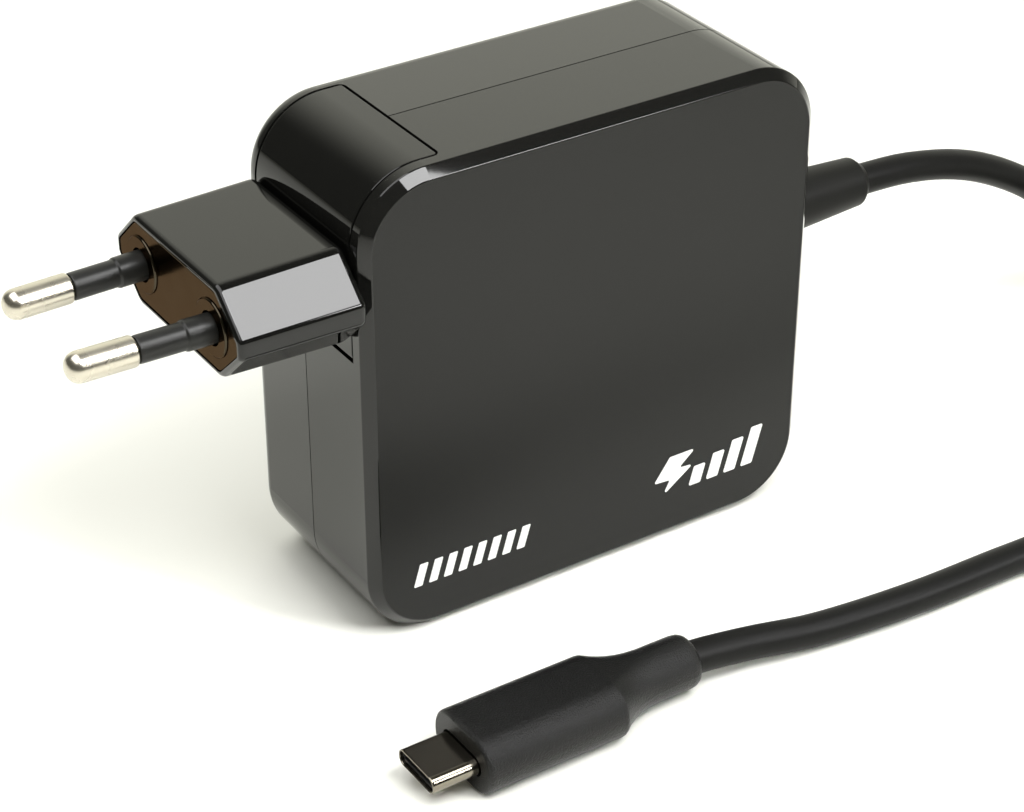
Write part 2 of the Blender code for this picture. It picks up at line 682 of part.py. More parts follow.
def make_output_parts():
    """Y capacitor, optocoupler, rectifier, heatsink, output capacitors and control board."""
    disc_profile = [(-1.6, 2.8), (-1.2, 3.9), (1.2, 3.9), (1.6, 2.8)]
    turned("y_capacitor", disc_profile, (4.0, 2.6, 11.0), "varistor_blue", 20, "X")
    block("optocoupler", (9.0, 3.6, 7.0), (15.4, PART_SEAT_Y, 11.6), "component_black", 0.3)
    fold = [(18.6, 17.0), (30.4, 17.0), (30.4, 18.2), (19.8, 18.2), (19.8, 21.6), (18.6, 21.6)]
    prism("secondary_heatsink", "Y", fold, -9.4, 6.8, "aluminium")
    block("synchronous_rectifier", (20.4, -4.0, 12.2), (30.0, 6.0, 16.7), "component_black", 0.4)
    can_profile = [(-12.0, 3.3), (-11.6, 3.9), (-2.0, 3.9), (-1.5, 3.6), (-1.0, 3.9), (-0.3, 3.7)]
    for place_name, z in (("upper", 57.0), ("lower", 48.4)):
        place = (24.0, PART_SEAT_Y, z)
        turned(f"output_capacitor_{place_name}", can_profile, place, "aluminium", 20, "Y")
    block("power_delivery_board", (18.6, -7.0, 23.0), (19.6, PART_SEAT_Y, 43.0), "board_black")
    for place_name, side, colour in (("positive", 1, "wire_red"), ("negative", -1, "component_black")):
        z = GLAND_Z + side * 1.3
        route = (
            (30.4, PARTING_Y, z), (28.0, PARTING_Y + 0.4, z + side * 0.4),
            (25.6, 3.4, z + side * 2.0), (25.0, 7.0, z + side * 2.8),
        )
        tube(f"output_wire_{place_name}", smooth_route(route, 1.2), 1.8, colour)


# ---------------------------------------------------------------- lead and USB-C plug

def make_strain_relief():
    """A moulded relief: a flange inside the wall, a waist in its hole and a tapered sleeve outside."""
    outside = BODY_WIDTH / 2 + GAP
    profile = [
        (30.9, 5.4), (32.6, 5.4), (32.7, 3.7), (outside, 3.7), (outside, 4.75), (outside + 0.8, 4.75),
        (GLAND_END - 1.4, 3.55), (GLAND_END - 0.2, 2.75), (GLAND_END, 2.6),
    ]
    turned("strain_relief", profile, (0, PARTING_Y, GLAND_Z), "lead_black", 24)


def coil_section():
    """The coil's cross-section: its turns side by side and layer on layer."""
    half = COIL_TURNS_ACROSS * CABLE_DIAMETER / 2
    low = COIL_REST
    high = COIL_REST + COIL_LAYERS * CABLE_DIAMETER
    corners = [(low, -half), (high, -half), (high, half), (low, half)]
    return fillet(corners, CABLE_DIAMETER / 2, 3)


def make_coil():
    profile = [(level, COIL_MIDDLE_RADIUS + out) for level, out in coil_section()]
    turned("cable_coil", profile, (COIL_X, COIL_Y, 0), "lead_black", 40, "Z", closed=True)


def make_coil_tie():
    """A flat strap round the coil's turns, on the side away from the charger."""
    half = COIL_TURNS_ACROSS * CABLE_DIAMETER / 2
    low = COIL_REST - 0.3
    high = COIL_REST + COIL_LAYERS * CABLE_DIAMETER + 0.3
    middle = COIL_X + COIL_MIDDLE_RADIUS
    loops = []
    for grow, width in ((0.0, 4.0), (0.6, 4.0), (0.6, -4.0), (0.0, -4.0)):
        reach = half + 0.6 + grow
        corners = [
            (middle - reach, low - grow), (middle + reach, low - grow),
            (middle + reach, high + grow), (middle - reach, high + grow),
        ]
        loops.append(along("Y", fillet(corners, 2.0 + grow, 3), COIL_Y + width))
    add_object("coil_tie", mesh_from_rings("coil_tie", loops, closed=True), "tie_black")


def clear_of_coil(points):
    """Leave out the points whose tube would run into the coil's solid."""
    outer = COIL_MIDDLE_RADIUS + (COIL_TURNS_ACROSS + 1) * CABLE_DIAMETER / 2 + GAP
    top = COIL_REST + (COIL_LAYERS + 0.5) * CABLE_DIAMETER + GAP
    centre = Vector((COIL_X, COIL_Y))
    return [point for point in points if point.z > top or (point.xy - centre).length > outer]


def make_cable():
    to_coil = clear_of_coil(smooth_route(ROUTE_TO_COIL, CABLE_STEP))
    to_plug = clear_of_coil(smooth_route(ROUTE_TO_PLUG, CABLE_STEP))
    tube("cable_to_coil", to_coil, CABLE_DIAMETER, "lead_black")
    tube("cable_to_plug", to_plug, CABLE_DIAMETER, "lead_black")


def stadium(width, height, steps=5):
    """An outline with half-round ends in (y, z) about the plug's axis."""
    half = width / 2
    rise = height / 2
    corners = [(-half, -rise), (half, -rise), (half, rise), (-half, rise)]
    return fillet(corners, rise * 0.999, steps)


def round_end(width, height, radius, steps=5):
    """A rounded rectangle in (y, z) about the plug's axis, or a circle where they agree."""
    corners = [
        (-width / 2, -height / 2), (width / 2, -height / 2), (width / 2, height / 2), (-width / 2, height / 2),
    ]
    return fillet(corners, min(radius, height * 0.4995, width * 0.4995), steps)


def make_usb_grip():
    body_end = USB_FACE_X + USB_GRIP_LENGTH
    neck_start = body_end + USB_SHOULDER
    neck = 2 * USB_NECK_RADIUS
    sections = (
        (USB_FACE_X, USB_GRIP_WIDTH - 1.4, USB_GRIP_HEIGHT - 1.4, 3.0),
        (USB_FACE_X + 0.9, USB_GRIP_WIDTH, USB_GRIP_HEIGHT, 3.6),
        (body_end - 1.5, USB_GRIP_WIDTH, USB_GRIP_HEIGHT, 3.6),
        (body_end, USB_GRIP_WIDTH - 0.6, USB_GRIP_HEIGHT - 0.2, 3.7),
        (neck_start - 1.2, neck + 1.2, neck + 0.2, 3.7),
        (neck_start, neck + 0.4, neck + 0.1, 3.6),
        (USB_NECK_END - 1.2, neck, neck, 3.6),
        (USB_NECK_END, neck - 1.8, neck - 1.8, 2.7),
    )
    rings = [along("X", round_end(w, h, r), x) for x, w, h, r in sections]
    mesh = mesh_from_rings("usb_c_grip", rings)
    grip = add_object("usb_c_grip", mesh, "lead_black", place=(0, USB_Y, USB_Z))
    room = stadium(USB_SHELL_WIDTH + 2 * GAP, USB_SHELL_HEIGHT + 2 * GAP)
    pocket_end = USB_FACE_X + USB_POCKET_DEPTH
    tool = prism("usb_pocket_tool", "X", room, USB_FACE_X - 1, pocket_end, place=(0, USB_Y, USB_Z))
    combine(grip, tool, "DIFFERENCE")
    smooth(grip)


def make_usb_shell():
    end = USB_FACE_X + 3.0
    lip = 0.12
    outer = stadium(USB_SHELL_WIDTH, USB_SHELL_HEIGHT)
    mouth = stadium(USB_SHELL_WIDTH - 2 * lip, USB_SHELL_HEIGHT - 2 * lip)
    inner = stadium(USB_SHELL_WIDTH - 2 * USB_SHELL_WALL, USB_SHELL_HEIGHT - 2 * USB_SHELL_WALL)
    rings = [
        along("X", mouth, USB_MOUTH_X), along("X", outer, USB_MOUTH_X + lip), along("X", outer, end),
        along("X", inner, end), along("X", inner, USB_MOUTH_X),
    ]
    mesh = mesh_from_rings("usb_c_shell", rings, closed=True)
    smooth(add_object("usb_c_shell", mesh, "usb_nickel", place=(0, USB_Y, USB_Z)))


def make_usb_inside():
    """The contact block with its slot, two rows of contacts in it, and the small board behind."""
    room = stadium(USB_SHELL_WIDTH - 2 * USB_SHELL_WALL - 0.3, USB_SHELL_HEIGHT - 2 * USB_SHELL_WALL - 0.2)
    start = USB_MOUTH_X + 0.5
    end = USB_FACE_X + 2.4
    place = (0, USB_Y, USB_Z)
    contacts = prism("usb_c_contact_block", "X", room, start, end, "component_black", place=place)
    slot = block("usb_slot_tool", (start - 1, USB_Y - 3.35, USB_Z - 0.5), (end - 1.4, USB_Y + 3.35, USB_Z + 0.5))
    combine(contacts, slot, "DIFFERENCE")
    pitch = 0.5
    count = 12
    for place_name, side in (("upper", 1), ("lower", -1)):
        outline = [(end - 2.4, -3.0), (end - 1.8, -3.0), (end - 1.8, 3.0), (end - 2.4, 3.0)]
        for i in reversed(range(count)):
            y = (i - (count - 1) / 2) * pitch
            outline += [(end - 2.4, y + 0.12), (start + 1.6, y + 0.12), (start + 1.6, y - 0.12), (end - 2.4, y - 0.12)]
        low, high = sorted((side * 0.22, side * 0.4))
        prism(f"usb_c_contacts_{place_name}", "Z", outline, low, high, "contact_gold", place=place)
    low = (USB_FACE_X + 3.0 + GAP, USB_Y - 3.9, USB_Z - 0.4)
    high = (USB_FACE_X + USB_POCKET_DEPTH - 0.5, USB_Y + 3.9, USB_Z + 0.4)
    block("usb_c_marker_board", low, high, "board_green")


make_front_shell()
make_rear_shell()
plug_head = bpy.data.objects.new("plug_head", None)
plug_head.location = Vector((-28.5, 0.0, ARM_Z)) * MM
bpy.context.scene.collection.objects.link(plug_head)
make_head_shell(plug_head)
make_pin_carrier(plug_head)
make_pins(plug_head)
make_contact_strips(plug_head)
make_housing_contacts()
make_sheets()
make_input_parts()
make_primary_parts()
make_transformer()
make_output_parts()
make_strain_relief()
make_coil()
make_coil_tie()
make_cable()
make_usb_grip()
make_usb_shell()
make_usb_inside()
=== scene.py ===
"""A square black USB-C wall charger with a removable two-pin plug head and a moulded lead.

Sizes are written in millimetres and multiplied by mm."""

import math

import bmesh
import bpy
from mathutils import Euler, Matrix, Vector


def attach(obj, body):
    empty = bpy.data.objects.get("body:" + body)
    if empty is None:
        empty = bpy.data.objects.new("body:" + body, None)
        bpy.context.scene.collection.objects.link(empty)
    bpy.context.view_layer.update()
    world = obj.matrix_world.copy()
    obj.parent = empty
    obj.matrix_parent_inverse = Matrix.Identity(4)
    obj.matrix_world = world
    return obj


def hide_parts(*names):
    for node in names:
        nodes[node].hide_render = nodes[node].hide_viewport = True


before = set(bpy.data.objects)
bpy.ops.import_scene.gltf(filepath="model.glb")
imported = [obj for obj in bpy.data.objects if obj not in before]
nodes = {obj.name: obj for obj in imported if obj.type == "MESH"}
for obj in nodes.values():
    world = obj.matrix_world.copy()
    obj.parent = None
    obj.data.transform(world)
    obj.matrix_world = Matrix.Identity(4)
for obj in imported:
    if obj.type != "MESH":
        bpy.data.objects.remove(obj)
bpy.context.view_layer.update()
mm = 0.001


# ================================================================ camera, floor and light
# A product table: the camera looks down at the charger's top left edge, with a white sweep under
# it and a room that is bright behind and dim in front, which draws the black bands in the gloss.

view = bpy.data.cameras.new("camera")
view.lens = 94.24
view.sensor_width = 36.0
view.clip_start = 0.01
camera = bpy.data.objects.new("camera", view)
bpy.context.scene.collection.objects.link(camera)
camera.location = Vector((-174.46, -261.72, 215.58)) * mm
camera.rotation_euler = Euler((math.radians(57.86), 0.0, math.radians(-33.14)))
bpy.context.scene.camera = camera
bpy.context.scene.view_settings.view_transform = "Standard"

world = bpy.data.worlds.new("white_room")
world.use_nodes = True
room = world.node_tree
room.nodes["Background"].inputs["Color"].default_value = (1.0, 1.0, 0.87, 1.0)
heading = room.nodes.new("ShaderNodeTexCoord")
bright_side = room.nodes.new("ShaderNodeVectorMath")
bright_side.operation = "DOT_PRODUCT"
bright_side.inputs[1].default_value = (0.6, 0.8, 0.0)
room.links.new(heading.outputs["Generated"], bright_side.inputs[0])
falloff = room.nodes.new("ShaderNodeMapRange")
falloff.interpolation_type = "SMOOTHSTEP"
falloff.inputs["From Min"].default_value = 0.40
falloff.inputs["From Max"].default_value = 0.80
falloff.inputs["To Min"].default_value = 0.12
falloff.inputs["To Max"].default_value = 1.28
room.links.new(bright_side.outputs["Value"], falloff.inputs["Value"])
ray = room.nodes.new("ShaderNodeLightPath")
backdrop = room.nodes.new("ShaderNodeMix")
backdrop.inputs["B"].default_value = 0.85
room.links.new(ray.outputs["Is Camera Ray"], backdrop.inputs["Factor"])
room.links.new(falloff.outputs["Result"], backdrop.inputs["A"])
room.links.new(backdrop.outputs["Result"], room.nodes["Background"].inputs["Strength"])
bpy.context.scene.world = world

floor_reach = 4000 * mm
floor_corners = [(-1, -1, 0), (1, -1, 0), (1, 1, 0), (-1, 1, 0)]
floor_mesh = bpy.data.meshes.new("floor")
floor_mesh.from_pydata([Vector(c) * floor_reach for c in floor_corners], [], [(0, 1, 2, 3)])
floor = bpy.data.objects.new("floor", floor_mesh)
bpy.context.scene.collection.objects.link(floor)
paper = bpy.data.materials.new("white_paper")
paper.use_nodes = True
paper_shader = paper.node_tree.nodes["Principled BSDF"]
paper_shader.inputs["Base Color"].default_value = (0.93, 0.93, 0.87, 1.0)
paper_shader.inputs["Roughness"].default_value = 0.9
paper_shader.inputs["Specular IOR Level"].default_value = 0.2
floor_mesh.materials.append(paper)


def soft_box(name, middle, width, height, watts, facing):
    """A rectangular studio light, placed in millimetres and turned to face a point."""
    lamp = bpy.data.lights.new(name, "AREA")
    lamp.shape = "RECTANGLE"
    lamp.size = width * mm
    lamp.size_y = height * mm
    lamp.energy = watts
    box = bpy.data.objects.new(name, lamp)
    bpy.context.scene.collection.objects.link(box)
    box.location = Vector(middle) * mm
    box.rotation_euler = (Vector(facing) - Vector(middle)).to_track_quat("-Z", "Y").to_euler()
    return box


soft_box("overhead", (-400, 50, 1200), 1000, 1500, 16.5, (-400, 50, 0))
front_right = soft_box("front_right", (420, -700, 450), 220, 220, 0.09, (-10, -40, 6))
front_right.data.spread = math.radians(20)
soft_box("front_left", (64, -260, 420), 250, 160, 1.9, (-45, -14, 55))


# ================================================================ the lead
# One round PVC cable, 1.5 m of it, that droops from its strain relief to the table, is wound into
# a tied coil beside the charger and comes back along the front to its USB-C plug.

cable_width = 4.6
coil_middle = Vector((131.0, -28.0))
coil_radius = 27.0
turn_pitch = 4.7
lower_layer = 3.2
lead_axis = (0.5, 37.0)
point_spacing = 2.5


def smooth_through(route, step):
    """Evenly spaced points on a smooth curve through a route, in millimetres."""
    knots = [Vector(point) for point in route]
    knots = [2 * knots[0] - knots[1]] + knots + [2 * knots[-1] - knots[-2]]
    fine = []
    slices = 24
    for a, b, c, d in zip(knots, knots[1:], knots[2:], knots[3:]):
        t1 = math.sqrt((b - a).length)
        t2 = t1 + math.sqrt((c - b).length)
        t3 = t2 + math.sqrt((d - c).length)
        for k in range(slices):
            t = t1 + (t2 - t1) * k / slices
            ab = a.lerp(b, t / t1)
            bc = b.lerp(c, (t - t1) / (t2 - t1))
            cd = c.lerp(d, (t - t2) / (t3 - t2))
            early = ab.lerp(bc, t / t2)
            late = bc.lerp(cd, (t - t1) / (t3 - t1))
            fine.append(early.lerp(late, (t - t1) / (t2 - t1)))
    fine.append(knots[-2])
    lengths = [0.0]
    for near, far in zip(fine, fine[1:]):
        lengths.append(lengths[-1] + (far - near).length)
    count = max(2, round(lengths[-1] / step))
    points = []
    i = 0
    for k in range(count + 1):
        target = lengths[-1] * k / count
        while i < len(fine) - 2 and lengths[i + 1] < target:
            i += 1
        part = (target - lengths[i]) / (lengths[i + 1] - lengths[i])
        points.append(fine[i].lerp(fine[i + 1], part))
    return points


def coil_points():
    """Seven and a half turns: in along the lower layer, up, and out along the upper one."""
    points = []
    steps = 24
    outer = coil_radius + 1.5 * turn_pitch
    for k in range(7 * steps + steps // 2 + 1):
        turn = k / steps
        rise = 0.0
        if turn < 3:
            reach = outer - turn_pitch * turn
        elif turn < 4:
            reach = outer - turn_pitch * 3
            rise = math.sqrt(1 - (4 - turn) ** 2)
        else:
            reach = outer - turn_pitch * max(0.0, 7 - turn)
            rise = 1.0
        angle = math.pi / 2 - 2 * math.pi * turn
        points.append(Vector((
            coil_middle.x + reach * math.cos(angle),
            coil_middle.y + reach * math.sin(angle),
            lower_layer + rise * turn_pitch,
        )))
    return points


coiled = smooth_through(coil_points(), point_spacing)
out_of_relief = smooth_through([
    (54.0, *lead_axis), (66.0, 0.5, 36.3), (78.0, 0.8, 33.2), (90.0, 1.4, 27.0),
    (101.0, 2.2, 18.6), (112.0, 3.6, 10.6), (122.0, 5.2, 5.2), coiled[0],
], point_spacing)
back_to_plug = smooth_through([
    coiled[-1], (118.0, -61.0, 7.0), (104.0, -58.0, 4.8), (90.0, -54.0, 2.9),
    (76.0, -51.0, 2.4), (61.0, -48.8, 2.35), (46.0, -48.0, 2.35), (30.0, -47.6, 2.35),
    (14.0, -46.0, 2.5), (4.0, -44.3, 3.3), (-4.5, -43.5, 4.0), (-7.0, -43.5, 4.0),
], point_spacing)
route = out_of_relief[:-1] + coiled + back_to_plug[1:]


def moulded_plastic(name, colour, roughness, grain, depth, mottle=0.15, level=0.5):
    """A moulded plastic or rubber: its tooled grain, and gloss that varies a little.

    The grain is counted per metre and its depth is in metres. Level sets how strongly it shines."""
    material = bpy.data.materials.new(name)
    material.use_nodes = True
    tree = material.node_tree
    shader = tree.nodes["Principled BSDF"]
    shader.inputs["Specular IOR Level"].default_value = level
    place = tree.nodes.new("ShaderNodeTexCoord")
    fine = tree.nodes.new("ShaderNodeTexNoise")
    fine.inputs["Scale"].default_value = grain
    fine.inputs["Detail"].default_value = 4.0
    tree.links.new(place.outputs["Object"], fine.inputs["Vector"])
    bump = tree.nodes.new("ShaderNodeBump")
    bump.inputs["Strength"].default_value = 0.6
    bump.inputs["Distance"].default_value = depth
    tree.links.new(fine.outputs["Fac"], bump.inputs["Height"])
    tree.links.new(bump.outputs["Normal"], shader.inputs["Normal"])
    broad = tree.nodes.new("ShaderNodeTexNoise")
    broad.inputs["Scale"].default_value = 90.0
    broad.inputs["Detail"].default_value = 3.0
    tree.links.new(place.outputs["Object"], broad.inputs["Vector"])
    gloss = tree.nodes.new("ShaderNodeMapRange")
    gloss.inputs["To Min"].default_value = roughness * (1 - mottle)
    gloss.inputs["To Max"].default_value = roughness * (1 + mottle)
    tree.links.new(broad.outputs["Fac"], gloss.inputs["Value"])
    tree.links.new(gloss.outputs["Result"], shader.inputs["Roughness"])
    tint = tree.nodes.new("ShaderNodeMix")
    tint.data_type = "RGBA"
    tint.inputs["A"].default_value = (*[c * 0.85 for c in colour], 1.0)
    tint.inputs["B"].default_value = (*[c * 1.15 for c in colour], 1.0)
    tree.links.new(fine.outputs["Fac"], tint.inputs["Factor"])
    tree.links.new(tint.outputs["Result"], shader.inputs["Base Color"])
    return material


pvc = moulded_plastic("cable_pvc", (0.0065, 0.0065, 0.006), 0.44, 3000.0, 0.00002, 0.2, 0.14)
lead_curve = bpy.data.curves.new("lead", "CURVE")
lead_curve.dimensions = "3D"
lead_curve.bevel_depth = cable_width / 2 * mm
lead_curve.bevel_resolution = 5
lead_curve.use_fill_caps = True
spline = lead_curve.splines.new("POLY")
spline.points.add(len(route) - 1)
for knot, point in zip(spline.points, route):
    knot.co = (*(point * mm), 1.0)
lead = bpy.data.objects.new("lead", lead_curve)
bpy.context.scene.collection.objects.link(lead)
lead_curve.materials.append(pvc)
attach(lead, "housing")
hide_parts("cable_to_coil", "cable_coil", "cable_to_plug")


# ================================================================ housing shells
# Two injection-moulded halves that meet on a line a little behind the middle of the sides. The
# front one has a fine satin face in a polished frame; the sides of both are bright gloss.

body_side = 35.0
body_top = 68.0
front_face = -15.0
rear_face = 15.0
case_corner = 10.0
corner_steps = 20
wall = 2.0
blade_offset = 5.0


def ring_mesh(name, rings, closed=False):
    """Skin a row of equal loops of points, in millimetres. Open rows get flat end caps."""
    shape = bmesh.new()
    loops = [[shape.verts.new(Vector(point) * mm) for point in ring] for ring in rings]
    pairs = list(zip(loops, loops[1:]))
    if closed:
        pairs.append((loops[-1], loops[0]))
    for near, far in pairs:
        for i in range(len(near)):
            j = (i + 1) % len(near)
            shape.faces.new((near[i], near[j], far[j], far[i]))
    if not closed:
        shape.faces.new(loops[0][::-1])
        shape.faces.new(loops[-1])
    bmesh.ops.recalc_face_normals(shape, faces=shape.faces)
    mesh = bpy.data.meshes.new(name)
    shape.to_mesh(mesh)
    shape.free()
    piece = bpy.data.objects.new(name, mesh)
    bpy.context.scene.collection.objects.link(piece)
    return piece


def filleted(corners, radii, steps):
    """Round each corner of a polygon with an arc. A radius of 0 keeps the corner."""
    if not isinstance(radii, (list, tuple)):
        radii = [radii] * len(corners)
    points = []
    for i, corner in enumerate(corners):
        here = Vector(corner)
        back = (Vector(corners[i - 1]) - here).normalized()
        ahead = (Vector(corners[(i + 1) % len(corners)]) - here).normalized()
        if not radii[i]:
            points.append(tuple(here))
            continue
        half = back.angle(ahead) / 2
        centre = here + (back + ahead).normalized() * (radii[i] / math.sin(half))
        start = here + back * (radii[i] / math.tan(half)) - centre
        end = here + ahead * (radii[i] / math.tan(half)) - centre
        sweep = start.angle_signed(end)
        for k in range(steps + 1):
            turn = -sweep * k / steps
            x = start.x * math.cos(turn) - start.y * math.sin(turn)
            y = start.x * math.sin(turn) + start.y * math.cos(turn)
            points.append((centre.x + x, centre.y + y))
    return points


def laid(axis, outline, level):
    """A flat outline stood across an axis, at a distance along it."""
    if axis == "X":
        return [(level, u, v) for u, v in outline]
    if axis == "Y":
        return [(u, level, v) for u, v in outline]
    return [(u, v, level) for u, v in outline]


def punch(axis, outline, low, high):
    """An outline drawn out straight along an axis, to cut with or to join on."""
    return ring_mesh("punch", [laid(axis, outline, low), laid(axis, outline, high)])


def slab(low, high):
    """A plain box, to cut with or to join on."""
    outline = [(low[0], low[1]), (high[0], low[1]), (high[0], high[1]), (low[0], high[1])]
    return punch("Z", outline, low[2], high[2])


def carve(piece, cuts, operation="DIFFERENCE"):
    """Cut shapes from a piece, join them on or trim by them, and leave one plain mesh."""
    for cut in cuts:
        step = piece.modifiers.new("carve", "BOOLEAN")
        step.operation = operation
        step.object = cut
        step.solver = "EXACT"
        step.material_mode = "TRANSFER"
    graph = bpy.context.evaluated_depsgraph_get()
    mesh = bpy.data.meshes.new_from_object(piece.evaluated_get(graph), depsgraph=graph)
    mesh.name = piece.name
    piece.modifiers.clear()
    piece.data = mesh
    for cut in cuts:
        bpy.data.objects.remove(cut, do_unlink=True)


def shaded(piece, angle=35.0):
    """Smooth shading that breaks at edges over an angle, and leaves the large flats flat."""
    large_flat = 150e-6
    piece.data.shade_smooth()
    piece.data.set_sharp_from_angle(angle=math.radians(angle))
    for face in piece.data.polygons:
        if face.area > large_flat:
            face.use_smooth = False
    flatten = piece.modifiers.new("flat_faces", "WEIGHTED_NORMAL")
    flatten.keep_sharp = True
    flatten.weight = 100
    return piece


def turned(name, profile, place, closed=False):
    """Turn a profile of (distance, radius) about a line along X through a place."""
    rings = []
    sides = 48
    for distance, radius in profile:
        circle = []
        for i in range(sides):
            angle = 2 * math.pi * i / sides
            circle.append((radius * math.cos(angle), radius * math.sin(angle)))
        rings.append(laid("X", circle, distance))
    piece = ring_mesh(name, rings, closed)
    piece.location = Vector(place) * mm
    return shaded(piece)


def square_outline(inset):
    """The rounded square of the case, seen from the front."""
    side = body_side - inset
    high = body_top - inset
    corners = [(-side, inset), (side, inset), (side, high), (-side, high)]
    return filleted(corners, case_corner - inset, corner_steps)


def room_outline(grow):
    """The room inside the shells: the rounded square less the plug head's corner."""
    side = body_side - wall + grow
    low = wall - grow
    high = body_top - wall + grow
    recess_x = -20.1 - grow
    recess_z = 40.9 + grow
    corners = [
        (-side, low), (side, low), (side, high),
        (recess_x, high), (recess_x, recess_z), (-side, recess_z),
    ]
    inner = case_corner - wall + grow
    return filleted(corners, [inner, inner, inner, 0, 0, 0], corner_steps)


def recess_cuts():
    """The plug head's corner recess, the tracks of its lugs and the slots for its contacts."""
    mouth_corners = [(-36.0, -12.0), (-21.7, -12.0), (-21.7, 12.0), (-36.0, 12.0)]
    cuts = [punch("Z", filleted(mouth_corners, [0, 1.1, 1.1, 0], 6), 42.5, 69.0)]
    for side in (-1, 1):
        near, far = sorted((side * 11.9, side * 12.9))
        blade = side * blade_offset
        cuts.append(slab((-30.3, near, 43.7), (-27.7, far, 56.3)))
        cuts.append(slab((-36.0, near, 51.7), (-30.0, far, 56.3)))
        cuts.append(slab((-30.3, blade - 0.7, 39.9), (-25.7, blade + 0.7, 43.5)))
    spring_slot = slab((-22.7, -1.8, 43.6), (-19.1, 1.8, 49.0))
    lead_hole = turned("hole", [(-6, 4.0), (6, 4.0)], (body_side, *lead_axis))
    return cuts + [spring_slot, lead_hole]


satin = moulded_plastic("satin_black", (0.006, 0.006, 0.0054), 0.36, 5200.0, 0.000012, 0.1, 0.27)
gloss = moulded_plastic("gloss_black", (0.0065, 0.0065, 0.0058), 0.05, 260.0, 0.0000035, 0.2)
frame_gloss = moulded_plastic(
    "frame_gloss", (0.0060, 0.0060, 0.0054), 0.045, 260.0, 0.0000035, 0.2, 0.4)

front_profile = [
    (1.45, -15.0), (1.33, -14.98), (1.24, -14.92), (0.09, -13.77), (0.02, -13.67), (0.0, -13.55),
    (0.0, 0.40), (0.02, 0.42),
]
front = ring_mesh("front_cover", [laid("Y", square_outline(i), y) for i, y in front_profile])
front.data.materials.append(frame_gloss)
front.data.materials.append(satin)
for face in front.data.polygons:
    if face.center.y < (front_face + 0.005) * mm:
        face.material_index = 1
front_room = punch("Y", room_outline(0), front_face + wall, 1.4)
lip_rebate = punch("Y", room_outline(0.95), -1.65, 1.4)
carve(front, [front_room, lip_rebate] + recess_cuts())
shaded(front, 30)
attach(front, "housing")
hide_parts("front_shell")

rear_edge = 2.5
rear_profile = [(0.02, 0.58), (0.0, 0.60)]
for k in range(9):
    turn = math.pi / 2 * k / 8
    rear_profile.append((
        rear_edge * (1 - math.cos(turn)),
        rear_face - rear_edge + rear_edge * math.sin(turn),
    ))
rear = ring_mesh("rear_cover", [laid("Y", square_outline(i), y) for i, y in rear_profile])
rear.data.materials.append(gloss)
carve(rear, [punch("Y", room_outline(0.65), -0.95, 1.65)], "UNION")
rear_room = punch("Y", room_outline(0), -2.0, rear_face - wall)
carve(rear, [rear_room] + recess_cuts())
shaded(rear, 30)
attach(rear, "housing")
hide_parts("rear_shell")


# ================================================================ printed marks
# White pad printing on the front face: a generic lightning bolt and slanted bars at the lower
# right, and a smaller row of slanted bars at the lower left. Neither is lettering.

ink_depth = 0.035
ink = moulded_plastic("white_ink", (0.88, 0.88, 0.86), 0.45, 3000.0, 0.00001, 0.1)


def printed(name, shapes):
    """Thin raised ink shapes, each an outline in (x, z), on the front face."""
    parts = bmesh.new()
    for outline in shapes:
        low = [parts.verts.new(Vector((x, front_face, z)) * mm) for x, z in outline]
        high = [parts.verts.new(Vector((x, front_face - ink_depth, z)) * mm) for x, z in outline]
        parts.faces.new(low)
        parts.faces.new(high[::-1])
        for i in range(len(outline)):
            j = (i + 1) % len(outline)
            parts.faces.new((low[i], high[i], high[j], low[j]))
    bmesh.ops.recalc_face_normals(parts, faces=parts.faces)
    mesh = bpy.data.meshes.new(name)
    parts.to_mesh(mesh)
    parts.free()
    piece = bpy.data.objects.new(name, mesh)
    bpy.context.scene.collection.objects.link(piece)
    mesh.materials.append(ink)
    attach(piece, "housing")


def slanted_bar(x, z, width, height, lean=0.28, radius=0.25):
    """A bar that leans to the right by a part of its height, with rounded corners."""
    shift = height * lean
    corners = [(x, z), (x + width, z), (x + width + shift, z + height), (x + shift, z + height)]
    return filleted(corners, radius, 4)


bolt = [
    (11.6, 7.2), (16.6, 10.7), (14.2, 10.9), (16.9, 13.2), (12.6, 13.2), (10.0, 9.6), (12.7, 9.4),
]
printed("power_mark", [
    filleted(bolt, 0.2, 3),
    slanted_bar(16.0, 7.2, 2.0, 3.0),
    slanted_bar(19.0, 7.2, 2.0, 4.0),
    slanted_bar(22.0, 7.2, 2.0, 5.0),
    slanted_bar(25.0, 7.2, 2.0, 6.0),
])
line_step = 2.3
printed("line_mark", [
    slanted_bar(-28.8 + line_step * k, 7.4, 1.3, 3.4, 0.3, 0.15) for k in range(8)
])


# ================================================================ plug head
# The piano-black corner block that slides out of the housing, and the arm that it is one piece
# with: an eight-sided bar, moulded in glossy polycarbonate, with softly rounded edges.

piano = moulded_plastic("piano_black", (0.004, 0.004, 0.0036), 0.035, 180.0, 0.000003, 0.25, 0.38)
arm_middle = 52.1
arm_end = -52.8
pin_offset = 9.3


def arm_outline(inset, edge=2.1):
    """The eight-sided bar seen from its end, with its long edges rounded."""
    half = 16.5 - inset
    rise = 6.4 - inset
    land = max(0.35, 1.2 - inset * 0.35)
    flat = 11.0 - inset * 0.43
    corners = [
        (-flat, -rise), (flat, -rise), (half, -land), (half, land),
        (flat, rise), (-flat, rise), (-half, land), (-half, -land),
    ]
    side = min(edge * 0.6, land * 0.95)
    rounded = filleted(corners, [edge, edge, side, side, edge, edge, side, side], 8)
    return [(u, v + arm_middle) for u, v in rounded]


